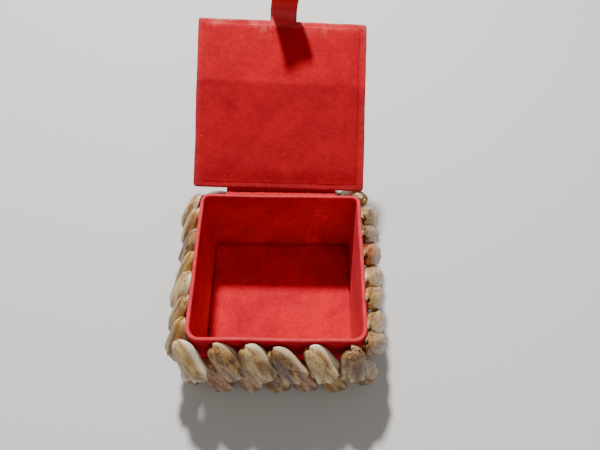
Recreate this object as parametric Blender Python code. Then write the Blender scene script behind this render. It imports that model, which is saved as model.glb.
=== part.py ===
# A small shell-covered trinket box with its cloth-hinged lid standing open.
# Metres, +Z up, +Y to the back. The origin is the middle of the underside.
import math
import random

import bmesh
import bpy
from mathutils import Matrix, Vector

# Card box, covered in red flocked paper inside and out
BOX_WIDTH = 0.075
BOX_DEPTH = 0.071
BOX_HEIGHT = 0.048
WALL_THICKNESS = 0.0018
BASE_THICKNESS = 0.0020
FRONT_CORNER_RADIUS = 0.0060
BACK_CORNER_RADIUS = 0.0040
RIM_ROUNDING = 0.0006
CORNER_STEPS = 5

# Loose card that lines the floor
FLOOR_CARD_THICKNESS = 0.0012
FLOOR_CARD_CLEARANCE = 0.0005
FLOOR_CARD_ROUNDING = 0.0003

# What is glued keeps this gap, which the glue fills
GLUE_GAP = 0.0003

# Lid, in its own frame: X along the hinge, Y from the hinge to the free edge,
# Z out of the lined face. The lined face is at Z = 0.
LID_WIDTH = 0.0806
LID_LENGTH = 0.0800
LID_BOARD_THICKNESS = 0.0025
LID_CORNER_RADIUS = 0.0012
LID_EDGE_ROUNDING = 0.0004
LINING_THICKNESS = 0.0008
LINING_EDGE_ROUNDING = 0.0002
LINING_SIDE_MARGIN = 0.0036
LINING_END_MARGIN = 0.0026
LID_ANGLE = math.radians(30)
LID_SKEW = math.radians(-0.8)
LID_SIDE_OFFSET = -0.0013
HINGE_SETBACK = 0.0010
HINGE_TO_LID = 0.0017
CLOSING_GAP = 0.0003

# Cloth hinge, one strip glued to the back wall and to the outside of the lid
HINGE_CLOTH_WIDTH = 0.052
HINGE_CLOTH_THICKNESS = 0.0005
HINGE_CLOTH_ON_WALL = 0.010
HINGE_CLOTH_ON_LID = 0.0045
HINGE_CLOTH_BELOW_RIM = 0.0024
HINGE_CLOTH_SLACK = 0.8
HINGE_CLOTH_STEPS = 6

# Ribbon pull, tucked between the lid's board and its lining
RIBBON_WIDTH = 0.0125
RIBBON_THICKNESS = 0.0004
RIBBON_OFFSET = 0.0004
RIBBON_TUCK = 0.007
RIBBON_CURL_LENGTH = 0.011
RIBBON_CURL = math.radians(72)
RIBBON_TAIL = 0.0165
RIBBON_CLEARANCE = 0.0003
RIBBON_STEPS = 10

# Shells on the walls, glued mouth to the wall with the narrow end up,
# all leaning the same way round the box, but for two by the right front corner.
# The two rows share the wall's height, which gives the shells their length.
UPPER_ROW_BELOW_RIM = 0.0014
BACK_ROW_BELOW_RIM = 0.0034
LOWER_ROW_ABOVE_FOOT = 0.0006
ROW_HEIGHT = (BOX_HEIGHT - UPPER_ROW_BELOW_RIM - LOWER_ROW_ABOVE_FOOT) / 2
SHELL_LENGTH = 1.122 * ROW_HEIGHT
UPRIGHT_LENGTH = 1.022 * ROW_HEIGHT
SHELL_WIDTH = 0.0120
SHELL_LEAN = math.radians(31)
SIDE_SHELL_LEAN = math.radians(28)
UPRIGHT_LEANS = (math.radians(20), math.radians(9))
UPPER_ROW_TILT = math.radians(12)
LOWER_ROW_TILT = math.radians(8)
UPPER_ROW_SEAT = 0.0014
LOWER_ROW_SEAT = 0.0005
LEAN_VARIATION = math.radians(2)
SHELL_GAP = 0.0004
UPPER_COUNTS = (6, 7, 6, 7)
LOWER_COUNTS = (6, 6, 6, 6)
UPPER_ROW_START = -0.42
LOWER_ROW_START = 0.08
SMALLEST_SHARE = 0.95
NEIGHBOUR_REACH = 1.6
AXIS_STEPS = 14

# Shells on the lid, in rows side by side
LID_SHELL_ROWS = 3
LID_SHELL_COLUMNS = 8
LID_SHELL_SPREAD = 1.19
LID_SHELL_START = 0.0060
LID_SHELL_MARGIN = 0.0006

# Section of a shell, seen from the narrow end: angle from the slit and share of the radius.
# The slit is between the thick outer lip and the inner lip.
SECTION = ((0, 0.62), (22, 0.84), (62, 0.86), (104, 0.92), (144, 0.97),
           (184, 1.0), (224, 1.0), (264, 1.0), (304, 1.0), (340, 0.98))
LID_SECTION = ((0, 0.72), (50, 0.86), (100, 0.92), (150, 0.98), (200, 1.0), (250, 1.0), (300, 0.98))
# Profile of a shell from the tip of its spire to its narrow end: share of length, share of radius
PROFILE = ((0.0, 0.0), (0.12, 0.38), (0.24, 0.80), (0.33, 1.0),
           (0.56, 0.99), (0.80, 0.88), (0.94, 0.62), (1.0, 0.0))
SHOULDER_RING = 2
KNOB_DIP = 0.10
SLIT_TURN = math.radians(14)
WALL_SIDE_FLATTENING = 0.62
OUTER_SIDE_STRETCH = 1.15

random.seed(26)


def clear_scene():
    for thing in list(bpy.data.objects):
        bpy.data.objects.remove(thing, do_unlink=True)


def material(name, colour, roughness):
    made = bpy.data.materials.get(name) or bpy.data.materials.new(name)
    made.use_nodes = True
    shader = made.node_tree.nodes["Principled BSDF"]
    shader.inputs["Base Color"].default_value = (*colour, 1.0)
    shader.inputs["Roughness"].default_value = roughness
    shader.inputs["Metallic"].default_value = 0.0
    return made


def red_flock():
    return material("red_flock", (0.50, 0.012, 0.016), 0.95)


def red_ribbon():
    return material("red_ribbon", (0.44, 0.005, 0.010), 0.45)


def shell_lime():
    return material("shell_lime", (0.52, 0.37, 0.24), 0.45)


def keep(bm, name, finish, parent=None, matrix=None):
    """Makes an object of the bmesh, in its place under its parent."""
    bmesh.ops.recalc_face_normals(bm, faces=bm.faces)
    mesh = bpy.data.meshes.new(name)
    bm.to_mesh(mesh)
    bm.free()
    mesh.materials.append(finish)
    mesh.shade_smooth()
    mesh.set_sharp_from_angle(angle=math.radians(35))
    made = bpy.data.objects.new(name, mesh)
    bpy.context.collection.objects.link(made)
    if parent is not None:
        made.parent = parent
    if matrix is not None:
        made.matrix_local = matrix
    return made


def rounded_outline(bm, width, depth, front_radius, back_radius, z, centre_y=0.0):
    """Adds one flat face, a rectangle with round corners."""
    corners = ((-1, -1, front_radius, 180), (1, -1, front_radius, 270),
               (1, 1, back_radius, 0), (-1, 1, back_radius, 90))
    ring = []
    for side_x, side_y, radius, start in corners:
        cx = side_x * (width / 2 - radius)
        cy = side_y * (depth / 2 - radius)
        for step in range(CORNER_STEPS + 1):
            turn = math.radians(start + 90 * step / CORNER_STEPS)
            x = cx + radius * math.cos(turn)
            y = centre_y + cy + radius * math.sin(turn)
            ring.append(bm.verts.new((x, y, z)))
    return bm.faces.new(ring)


def raise_face(bm, face, height):
    """Extrudes a face along Z and returns the new cap."""
    made = bmesh.ops.extrude_face_region(bm, geom=[face, *face.edges])["geom"]
    bmesh.ops.translate(bm, vec=(0, 0, height), verts=[g for g in made if isinstance(g, bmesh.types.BMVert)])
    return next(g for g in made if isinstance(g, bmesh.types.BMFace))


def rounded_plate(name, finish, size, radii, z_low, rounding, parent=None, centre_y=0.0):
    width, depth, thickness = size
    bm = bmesh.new()
    base = rounded_outline(bm, width, depth, *radii, z_low, centre_y)
    raise_face(bm, base, thickness)
    if rounding:
        rims = [e for e in bm.edges if abs(e.verts[0].co.z - e.verts[1].co.z) < 1e-7]
        bmesh.ops.bevel(bm, geom=rims, offset=rounding, segments=1, affect="EDGES", profile=0.5)
    return keep(bm, name, finish, parent)


def make_box():
    """Tray of card: one base and four walls, with a rounded rim."""
    bm = bmesh.new()
    base = rounded_outline(bm, BOX_WIDTH, BOX_DEPTH, FRONT_CORNER_RADIUS, BACK_CORNER_RADIUS, 0.0)
    rim = raise_face(bm, base, BOX_HEIGHT)
    bmesh.ops.inset_region(bm, faces=[rim], thickness=WALL_THICKNESS, use_even_offset=True)
    raise_face(bm, rim, BASE_THICKNESS - BOX_HEIGHT)
    rim_edges = [e for e in bm.edges if all(abs(v.co.z - BOX_HEIGHT) < 1e-7 for v in e.verts)
                 and len({round(f.calc_center_median().z, 5) for f in e.link_faces}) == 2]
    bmesh.ops.bevel(bm, geom=rim_edges, offset=RIM_ROUNDING, segments=2, affect="EDGES", profile=0.5)
    return keep(bm, "box_body", red_flock())


def make_floor_card():
    inside = WALL_THICKNESS + FLOOR_CARD_CLEARANCE
    size = (BOX_WIDTH - 2 * inside, BOX_DEPTH - 2 * inside, FLOOR_CARD_THICKNESS)
    radii = (FRONT_CORNER_RADIUS - inside, BACK_CORNER_RADIUS - inside)
    z_low = BASE_THICKNESS + GLUE_GAP
    return rounded_plate("floor_card", red_flock(), size, radii, z_low, FLOOR_CARD_ROUNDING)


def hinge_axis():
    """Where the lid turns: just behind the rim, level with the closed lid's lined face."""
    return Vector((0.0, BOX_DEPTH / 2 + HINGE_SETBACK, BOX_HEIGHT + CLOSING_GAP))


def make_lid_frame():
    frame = bpy.data.objects.new("lid_hinge", None)
    place = Matrix.Translation(hinge_axis() + Vector((LID_SIDE_OFFSET, 0, 0)))
    turn = Matrix.Rotation(LID_ANGLE, 4, "X") @ Matrix.Rotation(LID_SKEW, 4, "Z")
    frame.matrix_local = place @ turn
    bpy.context.collection.objects.link(frame)
    return frame


def board_top():
    return -LINING_THICKNESS - GLUE_GAP


def board_under():
    return board_top() - LID_BOARD_THICKNESS


def lid_end():
    return HINGE_TO_LID + LID_LENGTH


def make_lid_board(lid):
    centre = HINGE_TO_LID + LID_LENGTH / 2
    board_size = (LID_WIDTH, LID_LENGTH, LID_BOARD_THICKNESS)
    radii = (LID_CORNER_RADIUS, LID_CORNER_RADIUS)
    low = board_under()
    board = rounded_plate("lid_board", red_flock(), board_size, radii, low, LID_EDGE_ROUNDING, lid, centre)
    cutter = bpy.data.objects.new("ribbon_recess", bpy.data.meshes.new("ribbon_recess"))
    bm = bmesh.new()
    bmesh.ops.create_cube(bm, size=1.0)
    depth = RIBBON_THICKNESS + RIBBON_CLEARANCE
    size = (RIBBON_WIDTH + 2 * RIBBON_CLEARANCE, 2 * (RIBBON_TUCK + RIBBON_CLEARANCE), 2 * depth)
    bmesh.ops.scale(bm, vec=size, verts=bm.verts)
    bmesh.ops.translate(bm, vec=(RIBBON_OFFSET, lid_end(), board_top()), verts=bm.verts)
    bm.to_mesh(cutter.data)
    bm.free()
    bpy.context.collection.objects.link(cutter)
    cutter.parent = lid
    cutter.hide_render = True
    cutter.display_type = "WIRE"
    cut = board.modifiers.new("ribbon_recess", "BOOLEAN")
    cut.operation = "DIFFERENCE"
    cut.solver = "EXACT"
    cut.object = cutter
    return board


def make_lid_lining(lid):
    size = (LID_WIDTH - 2 * LINING_SIDE_MARGIN, LID_LENGTH - 2 * LINING_END_MARGIN, LINING_THICKNESS)
    centre = HINGE_TO_LID + LID_LENGTH / 2
    return rounded_plate("lid_lining", red_flock(), size, (LID_CORNER_RADIUS, LID_CORNER_RADIUS),
                         -LINING_THICKNESS, LINING_EDGE_ROUNDING, lid, centre)


def strip(name, finish, line, width, thickness, centre_x, parent=None):
    """A flat strip of cloth. line is its middle line as (y, z) points, and it runs the width across X."""
    bm = bmesh.new()
    rings = []
    for i, (y, z) in enumerate(line):
        before = Vector(line[max(i - 1, 0)])
        after = Vector(line[min(i + 1, len(line) - 1)])
        along = (after - before).normalized()
        side = Vector((-along.y, along.x)) * thickness / 2
        rings.append([bm.verts.new((centre_x + sx * width / 2, y + sn * side.x, z + sn * side.y))
                      for sx, sn in ((-1, -1), (1, -1), (1, 1), (-1, 1))])
    for low, high in zip(rings, rings[1:]):
        for i in range(4):
            bm.faces.new((low[i], low[(i + 1) % 4], high[(i + 1) % 4], high[i]))
    bm.faces.new(rings[0][::-1])
    bm.faces.new(rings[-1])
    return keep(bm, name, finish, parent)


def bezier(points, count):
    a, b, c, d = (Vector(p) for p in points)
    return [tuple(a * (1 - t) ** 3 + b * 3 * t * (1 - t) ** 2 + c * 3 * t * t * (1 - t) + d * t ** 3)
            for t in (i / count for i in range(count + 1))]


def make_hinge_cloth():
    """Up the back wall, across the gap with some slack, and onto the outside of the lid."""
    wall_y = BOX_DEPTH / 2 + GLUE_GAP + HINGE_CLOTH_THICKNESS / 2
    axis = hinge_axis()
    along = Vector((math.cos(LID_ANGLE), math.sin(LID_ANGLE)))
    out = Vector((math.sin(LID_ANGLE), -math.cos(LID_ANGLE)))
    depth = -board_under() + GLUE_GAP + HINGE_CLOTH_THICKNESS / 2
    lid_start = Vector((axis.y, axis.z)) + along * HINGE_TO_LID + out * depth
    lid_finish = lid_start + along * HINGE_CLOTH_ON_LID
    wall_finish = Vector((wall_y, BOX_HEIGHT - HINGE_CLOTH_BELOW_RIM))
    wall_start = wall_finish - Vector((0, HINGE_CLOTH_ON_WALL))
    reach = (lid_start - wall_finish).length / 2
    upward = wall_finish + Vector((0, reach * HINGE_CLOTH_SLACK))
    gap = bezier((wall_finish, upward, lid_start - along * reach, lid_start), HINGE_CLOTH_STEPS)
    line = [tuple(wall_start)] + gap + [tuple(lid_finish)]
    return strip("hinge_cloth", red_flock(), line, HINGE_CLOTH_WIDTH, HINGE_CLOTH_THICKNESS, 0.0)


def make_ribbon(lid):
    """Out of the lid's edge, curling up, then nearly straight to its cut end."""
    y, z = lid_end(), board_top() - (RIBBON_THICKNESS + RIBBON_CLEARANCE) / 2
    line = [(y - RIBBON_TUCK, z), (y, z)]
    step = RIBBON_CURL_LENGTH / RIBBON_STEPS
    for i in range(RIBBON_STEPS):
        turn = RIBBON_CURL * (i + 0.5) / RIBBON_STEPS
        y, z = y + step * math.cos(turn), z + step * math.sin(turn)
        line.append((y, z))
    line.append((y + RIBBON_TAIL * math.cos(RIBBON_CURL), z + RIBBON_TAIL * math.sin(RIBBON_CURL)))
    return strip("ribbon_pull", red_ribbon(), line, RIBBON_WIDTH, RIBBON_THICKNESS, RIBBON_OFFSET, lid)


def profile_radius(share):
    for (s0, r0), (s1, r1) in zip(PROFILE, PROFILE[1:]):
        if share <= s1:
            return r0 + (r1 - r0) * (share - s0) / (s1 - s0)
    return 0.0


def section_point(angle, part, reach):
    """One corner of a shell's section, flatter on the wall side and fuller on the outside."""
    turn = math.radians(angle - 90) + SLIT_TURN
    x, y = reach * part * math.cos(turn), reach * part * math.sin(turn)
    return x, y * (WALL_SIDE_FLATTENING if y < 0 else OUTER_SIDE_STRETCH)


def wall_side_depth(width, section):
    """How far a shell's axis stands off what it is glued to."""
    return max(-section_point(angle, part, width / 2)[1] for angle, part in section)


def shell_bmesh(length, width, section):
    """One shell: axis along Z with the narrow end up, and its mouth towards -Y."""
    bm = bmesh.new()
    rings = []
    for level, (share, radius) in enumerate(PROFILE[1:-1]):
        ring = []
        for corner, (angle, part) in enumerate(section):
            knobs = 1 - KNOB_DIP * (corner % 2) if level == SHOULDER_RING else 1
            x, y = section_point(angle, part, width / 2 * radius * knobs)
            ring.append(bm.verts.new((x, y, (share - 0.5) * length)))
        rings.append(ring)
    count = len(section)
    for low, high in zip(rings, rings[1:]):
        for i in range(count):
            bm.faces.new((low[i], low[(i + 1) % count], high[(i + 1) % count], high[i]))
    tip = bm.verts.new((0, 0, -length / 2))
    mouth_end = bm.verts.new((0, 0, length / 2))
    for i in range(count):
        bm.faces.new((rings[0][(i + 1) % count], rings[0][i], tip))
        bm.faces.new((rings[-1][i], rings[-1][(i + 1) % count], mouth_end))
    bmesh.ops.triangulate(bm, faces=bm.faces)
    return bm


def wall_stations(first_share, counts, offset):
    """Places along the path round the box at a distance from the walls, clockwise from above.

    Each side runs from the middle of one corner to the middle of the next, and its first place
    is a share of the pitch past the corner's middle, or before it. Gives the side's number,
    the point on the path and the outward direction there."""
    sides = ((BOX_WIDTH, BOX_DEPTH, FRONT_CORNER_RADIUS, FRONT_CORNER_RADIUS, -90),
             (BOX_DEPTH, BOX_WIDTH, FRONT_CORNER_RADIUS, BACK_CORNER_RADIUS, 180),
             (BOX_WIDTH, BOX_DEPTH, BACK_CORNER_RADIUS, BACK_CORNER_RADIUS, 90),
             (BOX_DEPTH, BOX_WIDTH, BACK_CORNER_RADIUS, FRONT_CORNER_RADIUS, 0))
    for number, (run, across, start_radius, end_radius, facing) in enumerate(sides):
        out = offset + (HINGE_CLOTH_THICKNESS + GLUE_GAP if number == 2 else 0.0)
        start_arc = (start_radius + out) * math.pi / 4
        end_arc = (end_radius + out) * math.pi / 4
        straight = run - start_radius - end_radius
        total = start_arc + straight + end_arc
        for k in range(counts[number]):
            done = total * (k + first_share) / counts[number]
            if done < start_arc:
                turn = math.pi / 4 - done / (start_radius + out)
                along = -(run / 2 - start_radius) - (start_radius + out) * math.sin(turn)
                away = across / 2 - start_radius + (start_radius + out) * math.cos(turn)
            elif done <= start_arc + straight:
                turn = 0.0
                along = -(run / 2 - start_radius) + done - start_arc
                away = across / 2 + out
            else:
                turn = -(done - start_arc - straight) / (end_radius + out)
                along = run / 2 - end_radius - (end_radius + out) * math.sin(turn)
                away = across / 2 - end_radius + (end_radius + out) * math.cos(turn)
            face = math.radians(facing)
            normal = Vector((math.cos(face), math.sin(face), 0))
            clockwise = Vector((math.sin(face), -math.cos(face), 0))
            outward = normal * math.cos(turn) - clockwise * math.sin(turn)
            yield number, normal * away + clockwise * along, outward


def shell_frame(point, outward, lean, z, tilt):
    """Places a shell: X clockwise round the box, Y outward, Z up, then leaning clockwise.

    A tilt stands its lower end further off the wall."""
    clockwise = Vector((outward.y, -outward.x, 0))
    basis = Matrix((clockwise, outward, Vector((0, 0, 1)))).transposed().to_4x4()
    turn = Matrix.Rotation(tilt, 4, "X") @ Matrix.Rotation(lean, 4, "Y")
    return Matrix.Translation((point.x, point.y, z)) @ basis @ turn


def reach_above(length, width, lean):
    """How far a leaning shell rises above its middle."""
    return max((share - 0.5) * length * math.cos(lean) + radius * width / 2 * math.sin(lean)
               for share, radius in PROFILE)


def reach_below(length, width, lean):
    return max((0.5 - share) * length * math.cos(lean) + radius * width / 2 * math.sin(lean)
               for share, radius in PROFILE)


def axis_points(frame, length):
    shares = [(i + 0.5) / AXIS_STEPS for i in range(AXIS_STEPS)]
    return [(frame @ Vector((0, 0, (s - 0.5) * length)), profile_radius(s)) for s in shares]


def room_between(a, b):
    """The largest radius that two shells can both have with their round profiles apart."""
    return min((p - q).length / (r + s) for p, r in a for q, s in b)


def lay_out_shells():
    """Frames and widths of the wall shells. A width is what the neighbours leave, up to SHELL_WIDTH."""
    offset = GLUE_GAP + wall_side_depth(SHELL_WIDTH, SECTION)
    placed = []
    rows = (("upper", UPPER_ROW_START, UPPER_COUNTS), ("lower", LOWER_ROW_START, LOWER_COUNTS))
    for row, first, counts in rows:
        numbers = [0, 0, 0, 0]
        for number, point, outward in wall_stations(first, counts, offset):
            lean, length = SHELL_LEAN if number in (0, 2) else SIDE_SHELL_LEAN, SHELL_LENGTH
            if row == "upper" and number == 0 and numbers[0] < len(UPRIGHT_LEANS):
                lean, length = UPRIGHT_LEANS[numbers[0]], UPRIGHT_LENGTH
            lean += LEAN_VARIATION * (2 * random.random() - 1)
            if row == "upper":
                below_rim = BACK_ROW_BELOW_RIM if number == 2 else UPPER_ROW_BELOW_RIM
                z = BOX_HEIGHT - below_rim - reach_above(length, SHELL_WIDTH, lean)
                tilt, seat = UPPER_ROW_TILT, UPPER_ROW_SEAT
            else:
                z = LOWER_ROW_ABOVE_FOOT + reach_below(length, SHELL_WIDTH, lean)
                tilt, seat = LOWER_ROW_TILT, LOWER_ROW_SEAT
            point = point + outward * (math.sin(tilt) * length / 2 - seat)
            numbers[number] += 1
            name = f"{row}_{('front', 'left', 'back', 'right')[number]}_shell_{numbers[number]}"
            placed.append([name, shell_frame(point, outward, lean, z, tilt), length])
    lines = [axis_points(frame, length) for name, frame, length in placed]
    middles = [frame.translation.copy() for name, frame, length in placed]
    for i, entry in enumerate(placed):
        near = [lines[j] for j in range(len(placed)) if j != i
                and (middles[j] - middles[i]).length < NEIGHBOUR_REACH * SHELL_LENGTH]
        room = min([room_between(lines[i], line) for line in near] + [SHELL_WIDTH / 2 + SHELL_GAP])
        share = SMALLEST_SHARE + (1 - SMALLEST_SHARE) * random.random()
        width = (2 * room - SHELL_GAP) * share
        entry.append(width)
        to_wall = wall_side_depth(SHELL_WIDTH, SECTION) - wall_side_depth(width, SECTION)
        outward = entry[1].col[1].to_3d()
        entry[1].translation -= outward * to_wall
    return placed


def make_wall_shells():
    for name, frame, length, width in lay_out_shells():
        keep(shell_bmesh(length, width, SECTION), name, shell_lime(), None, frame)


def make_lid_shells(lid):
    """Rows of shells across the outside of the lid. Those of a row touch and are one piece."""
    pitch = (LID_WIDTH - 2 * LID_SHELL_MARGIN) / (LID_SHELL_COLUMNS - 1 + LID_SHELL_SPREAD)
    step = (LID_LENGTH - LID_SHELL_START - LID_SHELL_MARGIN) / LID_SHELL_ROWS
    length, width = step - GLUE_GAP, pitch * LID_SHELL_SPREAD
    z = board_under() - GLUE_GAP - wall_side_depth(width, LID_SECTION)
    for row in range(LID_SHELL_ROWS):
        y = HINGE_TO_LID + LID_SHELL_START + (row + 0.5) * step
        made = []
        for column in range(LID_SHELL_COLUMNS):
            x = (column - (LID_SHELL_COLUMNS - 1) / 2) * pitch
            frame = Matrix.Translation((x, y, z)) @ Matrix.Rotation(math.radians(-90), 4, "X")
            name = f"lid_shell_row_{row + 1}" if not made else f"lid_row_{row + 1}_shell_{column + 1}"
            made.append(keep(shell_bmesh(length, width, LID_SECTION), name, shell_lime(), lid, frame))
        for other in made[1:]:
            other.hide_render = True
            other.display_type = "WIRE"
            join = made[0].modifiers.new(other.name, "BOOLEAN")
            join.operation = "UNION"
            join.solver = "EXACT"
            join.object = other


def main():
    clear_scene()
    make_box()
    make_floor_card()
    lid = make_lid_frame()
    make_lid_board(lid)
    make_lid_lining(lid)
    make_hinge_cloth()
    make_ribbon(lid)
    make_wall_shells()
    make_lid_shells(lid)


main()
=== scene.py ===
import itertools
import math
import random

import bmesh
import bpy
from mathutils import Matrix, Vector, noise
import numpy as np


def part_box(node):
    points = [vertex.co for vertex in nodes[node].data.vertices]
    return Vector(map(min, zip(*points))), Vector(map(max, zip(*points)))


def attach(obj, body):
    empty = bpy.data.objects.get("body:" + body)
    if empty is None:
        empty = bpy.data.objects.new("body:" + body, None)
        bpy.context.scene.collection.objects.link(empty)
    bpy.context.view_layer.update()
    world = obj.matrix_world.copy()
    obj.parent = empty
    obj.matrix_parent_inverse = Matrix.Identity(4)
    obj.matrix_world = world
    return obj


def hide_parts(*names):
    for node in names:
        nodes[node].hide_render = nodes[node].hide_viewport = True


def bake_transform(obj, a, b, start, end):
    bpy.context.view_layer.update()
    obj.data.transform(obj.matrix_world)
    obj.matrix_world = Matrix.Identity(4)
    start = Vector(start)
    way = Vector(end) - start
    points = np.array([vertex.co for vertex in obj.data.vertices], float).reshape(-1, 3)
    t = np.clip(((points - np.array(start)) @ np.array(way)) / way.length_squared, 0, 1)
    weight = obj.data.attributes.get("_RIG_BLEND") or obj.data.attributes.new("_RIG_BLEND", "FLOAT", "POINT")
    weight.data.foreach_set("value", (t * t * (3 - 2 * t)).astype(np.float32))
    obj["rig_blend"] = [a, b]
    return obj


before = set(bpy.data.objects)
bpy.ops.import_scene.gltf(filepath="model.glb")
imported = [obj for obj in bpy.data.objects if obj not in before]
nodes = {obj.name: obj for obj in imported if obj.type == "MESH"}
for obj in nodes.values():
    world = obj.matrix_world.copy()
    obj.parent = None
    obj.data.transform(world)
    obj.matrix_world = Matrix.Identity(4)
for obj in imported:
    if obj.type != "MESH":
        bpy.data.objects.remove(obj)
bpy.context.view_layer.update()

# A small trinket box: a card tray in red flocked paper, walls and lid covered in glued sea shells,
# and the lid standing open on a strip of cloth. Metres, front towards -Y.
mm = 0.001
noise.seed_set(7)  # or noise_vector gives other values in each run
tiny = 1e-6  # lengths below this count as none


def toLinear(hexColour):
    values = [int(hexColour[i:i + 2], 16) / 255 for i in (1, 3, 5)]
    return tuple(v / 12.92 if v <= 0.04045 else ((v + 0.055) / 1.055) ** 2.4 for v in values) + (1.0,)


def addNode(tree, kind, inputs, options=None, stops=()):
    # inputs are plain values or other nodes' sockets, options the node's own settings
    node = tree.nodes.new("ShaderNode" + kind)
    for name, value in (options or {}).items():
        setattr(node, name, value)
    for name, value in inputs.items():
        if isinstance(value, bpy.types.NodeSocket):
            tree.links.new(value, node.inputs[name])
        else:
            node.inputs[name].default_value = value
    for i, (place, colour) in enumerate(stops):
        stop = node.color_ramp.elements[i]
        stop.position = place
        stop.color = colour if isinstance(colour, tuple) else (colour,) * 3 + (1.0,)
    return node


# a Mix node for colours takes its share in socket 0, the colours in 6 and 7, and gives the mix in 2
mixTints = {"data_type": "RGBA"}
multiplyTints = {"data_type": "RGBA", "blend_type": "MULTIPLY"}


def newMaterial(name, values):
    material = bpy.data.materials.new(name)
    material.use_nodes = True
    tree = material.node_tree
    shader = tree.nodes["Principled BSDF"]
    for socket, value in values.items():
        shader.inputs[socket].default_value = value
    return material, tree, shader


def smoothStep(low, high, value):
    share = min(max((value - low) / (high - low), 0.0), 1.0)
    return share * share * (3 - 2 * share)


def extents(points):
    low = Vector([min(p[i] for p in points) for i in range(3)])
    high = Vector([max(p[i] for p in points) for i in range(3)])
    return low, high


def finishPiece(bm, name, materials, sharpAngle=40):
    bmesh.ops.recalc_face_normals(bm, faces=bm.faces)
    mesh = bpy.data.meshes.new(name)
    bm.to_mesh(mesh)
    bm.free()
    for material in materials:
        mesh.materials.append(material)
    mesh.shade_smooth()
    if sharpAngle < 180:
        mesh.set_sharp_from_angle(angle=math.radians(sharpAngle))
    piece = bpy.data.objects.new(name, mesh)
    bpy.context.scene.collection.objects.link(piece)
    return piece


def roundedSlab(low, high, frontRadius, backRadius, segments):
    bm = bmesh.new()
    bmesh.ops.create_cube(bm, size=1.0)
    bmesh.ops.scale(bm, vec=high - low, verts=bm.verts)
    bmesh.ops.translate(bm, vec=(low + high) / 2, verts=bm.verts)
    middle = (low.y + high.y) / 2
    for radius, isFront in ((frontRadius, True), (backRadius, False)):
        corners = [e for e in bm.edges if (e.verts[0].co.y < middle) == isFront
                   and abs(e.verts[0].co.z - e.verts[1].co.z) > (high.z - low.z) / 2
                   and (e.verts[0].co.xy - e.verts[1].co.xy).length < tiny]
        bmesh.ops.bevel(bm, geom=corners, offset=radius, segments=segments, affect="EDGES",
                        profile=0.5, material=-1)
    return bm


def rollEdges(bm, heights, radius, segments):
    # rounds the level edges at these heights that have a steep face beside them
    bm.normal_update()
    edges = [e for height in heights for e in bm.edges
             if all(abs(v.co.z - height) < tiny for v in e.verts)
             and any(abs(f.normal.z) < 0.5 for f in e.link_faces)]
    bmesh.ops.bevel(bm, geom=edges, offset=radius, segments=segments, affect="EDGES",
                    profile=0.5, material=-1)


def cutUp(bm, low, high, axes, every):
    # even cuts across the slab, so that bows and waves in the card show
    for axis in axes:
        count = max(int((high[axis] - low[axis]) / every), 1)
        normal = [0, 0, 0]
        normal[axis] = 1
        for i in range(1, count):
            place = [0, 0, 0]
            place[axis] = low[axis] + (high[axis] - low[axis]) * i / count
            bmesh.ops.bisect_plane(bm, geom=bm.verts[:] + bm.edges[:] + bm.faces[:], dist=tiny,
                                   plane_co=place, plane_no=normal)


def extrudeRow(bm, edges):
    # gives the new row's vertices and the edges between them
    made = bmesh.ops.extrude_edge_only(bm, edges=edges)["geom"]
    row = [g for g in made if isinstance(g, bmesh.types.BMVert)]
    inRow = set(row)
    return row, [g for g in made if isinstance(g, bmesh.types.BMEdge) and all(v in inRow for v in g.verts)]


def paintWearAndHighlight(bm, wearAndHighlightAt):
    layer = bm.verts.layers.float.new("wear")
    for v in bm.verts:
        v[layer] = wearAndHighlightAt(v.co)


# Red flocked paper: short rayon pile glued on paper. It drinks the light, has no gloss,
# shows soft cloudy patches where the pile lies over, and rubs pale along the edges; on the rim
# the pale line is also a painted highlight.
flockLook = {"rubbed": "#e2666a", "fibre": "#f0b9a8", "sheen": "#ff6472", "cloudSize": 14 * mm,
             "patchSize": 2.6 * mm, "fibreSize": 0.9 * mm, "pileDepth": 0.10 * mm,
             "pileSize": 0.45 * mm}  # real pile is 0.1 mm wide, drawn coarser so that it shows
flockTints = {"box": ("#a81328", "#dc1228"), "lap": ("#b4182c", "#f0182e"),  # the lap is a fresher offcut
              "lid": ("#a60f1d", "#d41221")}


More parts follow.
